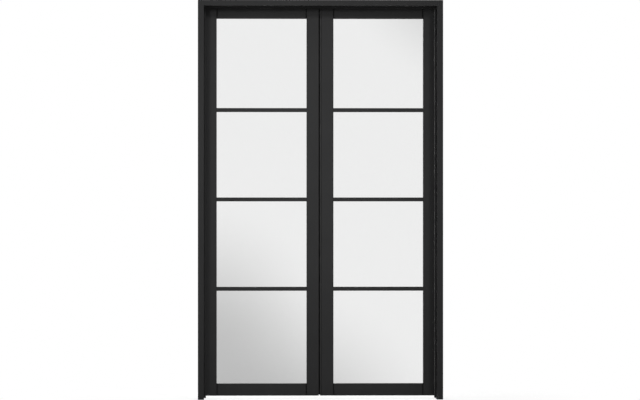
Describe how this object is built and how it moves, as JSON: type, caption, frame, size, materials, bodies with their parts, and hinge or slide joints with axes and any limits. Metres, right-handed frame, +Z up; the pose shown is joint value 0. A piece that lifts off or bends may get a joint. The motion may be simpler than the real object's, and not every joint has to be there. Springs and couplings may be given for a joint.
{
  "type": "glazed room divider",
  "caption": "Black timber lining frame with a pair of slim glazed leaves, barred across into panes, that swing open away from the front on butt hinges and stay shut on ball catches.",
  "frame": {"origin": "on the floor at the middle of the whole object's box, hinge knuckles included", "axes": "+Z up, +Y from the front of the frame towards the side that the leaves open to, +X to the right as seen from the front"},
  "size_m": [1.246, 0.1435, 2.031],
  "materials": {
    "black_paint": "satin black paint on timber",
    "clear_glass": "clear float glass",
    "hinge_steel": "satin steel",
    "screw_steel": "zinc plated steel",
    "catch_brass": "satin brass",
    "catch_steel": "polished steel",
    "brush_pile": "black woven pile",
    "glazing_tape": "black foam tape",
    "block_plastic": "moulded black plastic",
    "dowel_timber": "bare beech"
  },
  "bodies": {
    "frame": {"left_jamb": "black_paint", "right_jamb": "black_paint", "head": "black_paint", "left_stop": "black_paint", "right_stop": "black_paint", "head_stop": "black_paint", "corner_screws": "screw_steel", "stop_pins": "screw_steel", "strike_screws": "screw_steel", "left_hinge_frame_plates": "hinge_steel", "left_hinge_pins": "hinge_steel", "left_frame_hinge_screws": "screw_steel", "left_catch_strike": "catch_brass", "right_hinge_frame_plates": "hinge_steel", "right_hinge_pins": "hinge_steel", "right_frame_hinge_screws": "screw_steel", "right_catch_strike": "catch_brass"},
    "left_leaf": {"left_hinge_stile": "black_paint", "left_meeting_stile": "black_paint", "left_top_rail": "black_paint", "left_bottom_rail": "black_paint", "left_upper_bar": "black_paint", "left_middle_bar": "black_paint", "left_lower_bar": "black_paint", "left_glazing_beads": "black_paint", "left_pane_1": "clear_glass", "left_pane_2": "clear_glass", "left_pane_3": "clear_glass", "left_pane_4": "clear_glass", "left_glazing_tape": "glazing_tape", "left_setting_blocks": "block_plastic", "left_dowels": "dowel_timber", "left_hinge_door_plates": "hinge_steel", "left_hinge_screws": "screw_steel", "left_catch_housing": "catch_brass", "left_catch_spring": "catch_steel"},
    "left_catch_ball": {"left_catch_ball": "catch_steel"},
    "right_leaf": {"right_hinge_stile": "black_paint", "right_meeting_stile": "black_paint", "right_top_rail": "black_paint", "right_bottom_rail": "black_paint", "right_upper_bar": "black_paint", "right_middle_bar": "black_paint", "right_lower_bar": "black_paint", "right_glazing_beads": "black_paint", "right_pane_1": "clear_glass", "right_pane_2": "clear_glass", "right_pane_3": "clear_glass", "right_pane_4": "clear_glass", "right_glazing_tape": "glazing_tape", "right_setting_blocks": "block_plastic", "right_dowels": "dowel_timber", "right_hinge_door_plates": "hinge_steel", "right_hinge_screws": "screw_steel", "right_catch_housing": "catch_brass", "right_catch_spring": "catch_steel", "meeting_strip": "black_paint", "meeting_brush": "brush_pile", "meeting_strip_screws": "screw_steel"},
    "right_catch_ball": {"right_catch_ball": "catch_steel"}
  },
  "joints": [
    {"name": "left_leaf_hinge", "type": "hinge", "parent": "frame", "child": "left_leaf", "pos_m": [-0.5905, 0.06675, 1], "axis": [0, 0, 1], "range_deg": [0, 170]},
    {"name": "right_leaf_hinge", "type": "hinge", "parent": "frame", "child": "right_leaf", "pos_m": [0.5905, 0.06675, 1], "axis": [0, 0, -1], "range_deg": [0, 170]},
    {"name": "left_catch_press", "type": "slide", "parent": "left_leaf", "child": "left_catch_ball", "axis": [0, 0, 1], "range_m": [-0.004, 0], "stiffness_N_per_m": 1500, "springref_m": 0.008, "deforming": ["left_catch_spring"]},
    {"name": "right_catch_press", "type": "slide", "parent": "right_leaf", "child": "right_catch_ball", "axis": [0, 0, 1], "range_m": [-0.004, 0], "stiffness_N_per_m": 1500, "springref_m": 0.008, "deforming": ["right_catch_spring"]}
  ]
}
